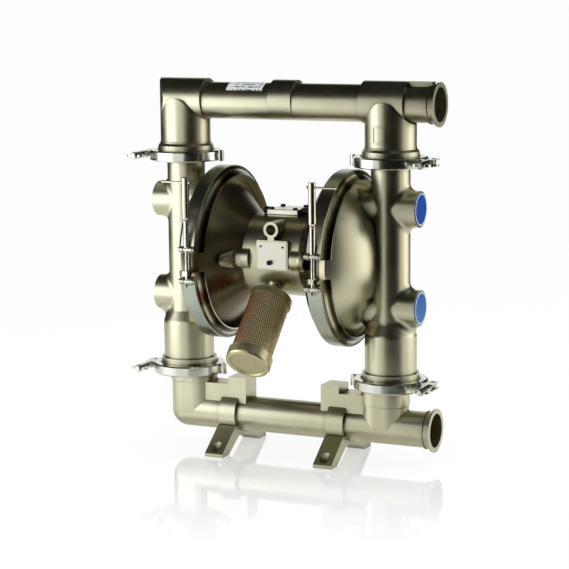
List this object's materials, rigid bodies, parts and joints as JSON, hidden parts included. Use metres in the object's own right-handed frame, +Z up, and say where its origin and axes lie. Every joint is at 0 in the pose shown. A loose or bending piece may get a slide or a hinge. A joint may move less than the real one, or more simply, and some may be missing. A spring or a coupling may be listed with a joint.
{
  "type": "air operated diaphragm pump",
  "caption": "Stainless double diaphragm pump: clamped fluid columns, ported manifolds on saddle feet, air section with valve, muffler and T-handled V-bands",
  "frame": {"origin": "on the floor at the centre of the four foot bolt holes", "axes": "X along the manifolds with both ports on +X, -Y the front with the air inlet and muffler, +Z up"},
  "size_m": [0.583, 0.3522, 0.6729],
  "materials": {
    "cast": "bead-blasted cast stainless steel",
    "clamp_steel": "electropolished stainless steel",
    "band_steel": "rolled stainless strip",
    "bolt_steel": "turned stainless bar",
    "fluid_plate_steel": "machined stainless steel",
    "diaphragm_rubber": "moulded rubber",
    "gasket_ptfe": "PTFE",
    "ball_rubber": "ground rubber",
    "valve_alloy": "die cast and machined",
    "black_plastic": "moulded",
    "black_screws": "blackened socket screws",
    "plate_aluminium": "plain satin plate",
    "muffler_plated": "yellow zinc plated steel",
    "muffler_sleeve": "perforated steel, yellow zinc plated",
    "muffler_felt": "porous felt element",
    "badge": "plain blue face with a white rim"
  },
  "bodies": {
    "root": {"outlet_manifold": "cast", "inlet_manifold": "cast", "left_foot_saddle": "cast", "right_foot_saddle": "cast", "left_fluid_cover": "cast", "right_fluid_cover": "cast", "left_air_cover": "cast", "right_air_cover": "cast", "center_housing": "cast", "left_upper_clamp_front": "clamp_steel", "left_upper_clamp_rear": "clamp_steel", "left_lower_clamp_front": "clamp_steel", "left_lower_clamp_rear": "clamp_steel", "right_upper_clamp_front": "clamp_steel", "right_upper_clamp_rear": "clamp_steel", "right_lower_clamp_front": "clamp_steel", "right_lower_clamp_rear": "clamp_steel", "clamp_pins": "clamp_steel", "swing_bolts": "clamp_steel", "left_band_strap": "band_steel", "right_band_strap": "band_steel", "left_band_segments": "band_steel", "right_band_segments": "band_steel", "band_trunnions": "bolt_steel", "band_bolts": "bolt_steel", "air_cover_bolts": "bolt_steel", "ball_seats": "fluid_plate_steel", "left_diaphragm": "diaphragm_rubber", "right_diaphragm": "diaphragm_rubber", "valve_gasket": "diaphragm_rubber", "clamp_gaskets": "gasket_ptfe", "shaft_bearings": "gasket_ptfe", "valve_body": "valve_alloy", "valve_caps": "black_plastic", "valve_screws": "black_screws", "plate_screws": "black_screws", "name_plate": "plate_aluminium", "muffler_head": "muffler_plated", "muffler_end_cap": "muffler_plated", "muffler_sleeve": "muffler_sleeve", "muffler_core": "muffler_felt", "badges": "badge"},
    "shaft_assembly": {"diaphragm_shaft": "bolt_steel", "air_plates": "bolt_steel", "fluid_plates": "fluid_plate_steel"},
    "spool": {"valve_spool": "bolt_steel"},
    "left_pilot_pin_body": {"left_pilot_pin": "bolt_steel"},
    "left_t_nut_body": {"left_t_nut": "bolt_steel"},
    "left_t_bar_body": {"left_t_bar": "bolt_steel"},
    "left_upper_wing_nut_body": {"left_upper_wing_nut": "clamp_steel"},
    "left_upper_ball_body": {"left_upper_ball": "ball_rubber"},
    "left_lower_wing_nut_body": {"left_lower_wing_nut": "clamp_steel"},
    "left_lower_ball_body": {"left_lower_ball": "ball_rubber"},
    "right_pilot_pin_body": {"right_pilot_pin": "bolt_steel"},
    "right_t_nut_body": {"right_t_nut": "bolt_steel"},
    "right_t_bar_body": {"right_t_bar": "bolt_steel"},
    "right_upper_wing_nut_body": {"right_upper_wing_nut": "clamp_steel"},
    "right_upper_ball_body": {"right_upper_ball": "ball_rubber"},
    "right_lower_wing_nut_body": {"right_lower_wing_nut": "clamp_steel"},
    "right_lower_ball_body": {"right_lower_ball": "ball_rubber"}
  },
  "joints": [
    {"name": "shaft_stroke", "type": "slide", "parent": "root", "child": "shaft_assembly", "axis": [1, 0, 0], "range_m": [-0.018, 0.018], "deforming": ["left_diaphragm", "right_diaphragm"]},
    {"name": "spool_shift", "type": "slide", "parent": "root", "child": "spool", "axis": [1, 0, 0], "range_m": [-0.004, 0.004]},
    {"name": "left_pilot_push", "type": "slide", "parent": "root", "child": "left_pilot_pin_body", "axis": [1, 0, 0], "range_m": [0, 0.005]},
    {"name": "left_t_nut_turn", "type": "hinge", "parent": "root", "child": "left_t_nut_body", "pos_m": [-0.11945, -0.15849, 0.445], "axis": [0, 0, 1], "continuous": true},
    {"name": "left_t_bar_slide", "type": "slide", "parent": "left_t_nut_body", "child": "left_t_bar_body", "axis": [1, 0, 0], "range_m": [0, 0.035]},
    {"name": "left_upper_wing_nut_turn", "type": "hinge", "parent": "root", "child": "left_upper_wing_nut_body", "pos_m": [-0.275, -0.038, 0.5342], "axis": [0, 1, 0], "continuous": true},
    {"name": "left_upper_ball_lift", "type": "slide", "parent": "root", "child": "left_upper_ball_body", "axis": [0, 0, 1], "range_m": [0, 0.016]},
    {"name": "left_lower_wing_nut_turn", "type": "hinge", "parent": "root", "child": "left_lower_wing_nut_body", "pos_m": [-0.275, -0.038, 0.1432], "axis": [0, 1, 0], "continuous": true},
    {"name": "left_lower_ball_lift", "type": "slide", "parent": "root", "child": "left_lower_ball_body", "axis": [0, 0, 1], "range_m": [0, 0.016]},
    {"name": "right_pilot_push", "type": "slide", "parent": "root", "child": "right_pilot_pin_body", "axis": [-1, 0, 0], "range_m": [0, 0.005]},
    {"name": "right_t_nut_turn", "type": "hinge", "parent": "root", "child": "right_t_nut_body", "pos_m": [0.11945, -0.15849, 0.445], "axis": [0, 0, 1], "continuous": true},
    {"name": "right_t_bar_slide", "type": "slide", "parent": "right_t_nut_body", "child": "right_t_bar_body", "axis": [-1, 0, 0], "range_m": [0, 0.035]},
    {"name": "right_upper_wing_nut_turn", "type": "hinge", "parent": "root", "child": "right_upper_wing_nut_body", "pos_m": [0.275, -0.038, 0.5342], "axis": [0, 1, 0], "continuous": true},
    {"name": "right_upper_ball_lift", "type": "slide", "parent": "root", "child": "right_upper_ball_body", "axis": [0, 0, 1], "range_m": [0, 0.016]},
    {"name": "right_lower_wing_nut_turn", "type": "hinge", "parent": "root", "child": "right_lower_wing_nut_body", "pos_m": [0.275, -0.038, 0.1432], "axis": [0, 1, 0], "continuous": true},
    {"name": "right_lower_ball_lift", "type": "slide", "parent": "root", "child": "right_lower_ball_body", "axis": [0, 0, 1], "range_m": [0, 0.016]}
  ]
}
